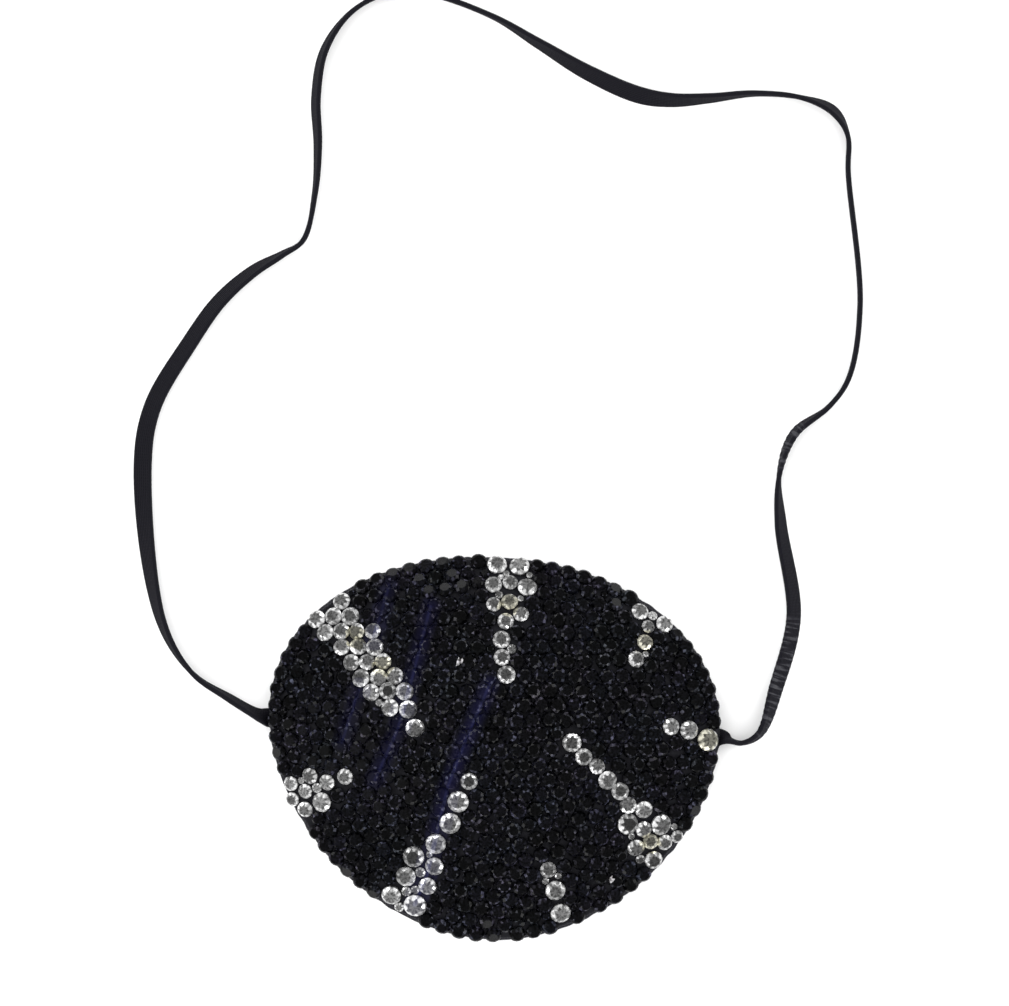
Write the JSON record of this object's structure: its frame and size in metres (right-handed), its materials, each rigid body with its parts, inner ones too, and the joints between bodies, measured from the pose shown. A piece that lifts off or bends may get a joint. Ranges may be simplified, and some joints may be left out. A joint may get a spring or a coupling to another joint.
{
  "type": "eye patch",
  "caption": "Domed oval costume eye patch, black, covered in jet flat-back stones with rays of clear crystals, lined with felt, on a thin flat elastic loop.",
  "frame": {"origin": "middle of the patch's underside, on the surface that the patch lies on, without the free elastic", "axes": "+Z out of the patch's stone-covered front, +Y towards the wearer's brow, +X to the right when seen from the front"},
  "size_m": [0.123, 0.1608, 0.0122],
  "materials": {
    "shell": "stiff moulded former, matt",
    "cover_fabric": "black woven fabric, folded over the edge",
    "lining_felt": "soft black felt",
    "adhesive": "flexible clear stone glue over black",
    "jet_stone": "faceted jet glass, opaque, glossy",
    "crystal": "faceted clear glass on silver foil, bright",
    "elastic": "flat knitted elastic, slightly satin",
    "thread": "black polyester thread, zigzag stitched"
  },
  "bodies": {
    "patch": {"moulded_shell": "shell", "front_cover": "cover_fabric", "edge_binding": "cover_fabric", "back_lining": "lining_felt", "adhesive_bed": "adhesive", "jet_stone_field": "jet_stone", "elastic_end_left": "elastic", "elastic_end_right": "elastic", "bar_tack_left": "thread", "bar_tack_right": "thread", "crystal_top_01": "crystal", "crystal_top_02": "crystal", "crystal_top_03": "crystal", "crystal_top_04": "crystal", "crystal_top_05": "crystal", "crystal_top_06": "crystal", "crystal_top_07": "crystal", "crystal_top_08": "crystal", "crystal_top_09": "crystal", "crystal_top_10": "crystal", "crystal_top_11": "crystal", "crystal_top_12": "crystal", "crystal_upper_right_01": "crystal", "crystal_upper_right_02": "crystal", "crystal_upper_right_03": "crystal", "crystal_upper_right_04": "crystal", "crystal_upper_right_05": "crystal", "crystal_right_01": "crystal", "crystal_right_02": "crystal", "crystal_right_03": "crystal", "crystal_bottom_right_01": "crystal", "crystal_bottom_right_02": "crystal", "crystal_bottom_right_03": "crystal", "crystal_lower_left_01": "crystal", "crystal_lower_left_02": "crystal", "crystal_lower_left_03": "crystal", "crystal_lower_left_04": "crystal", "crystal_lower_left_05": "crystal", "crystal_lower_left_06": "crystal", "crystal_lower_left_07": "crystal", "crystal_lower_left_08": "crystal", "crystal_lower_left_09": "crystal", "crystal_lower_left_10": "crystal", "crystal_left_01": "crystal", "crystal_left_02": "crystal", "crystal_left_03": "crystal", "crystal_left_04": "crystal", "crystal_left_05": "crystal", "crystal_left_06": "crystal", "crystal_left_07": "crystal", "crystal_left_08": "crystal", "crystal_cluster_upper_left": "crystal", "crystal_cluster_lower_right": "crystal"},
    "strap": {"elastic_strap": "elastic"}
  },
  "joints": [
    {"name": "strap_swing", "type": "hinge", "parent": "patch", "child": "strap", "pos_m": [0, 0.0035, 0.0005], "axis": [0.999, -0.0436, 0], "range_deg": [-100, 100]}
  ]
}
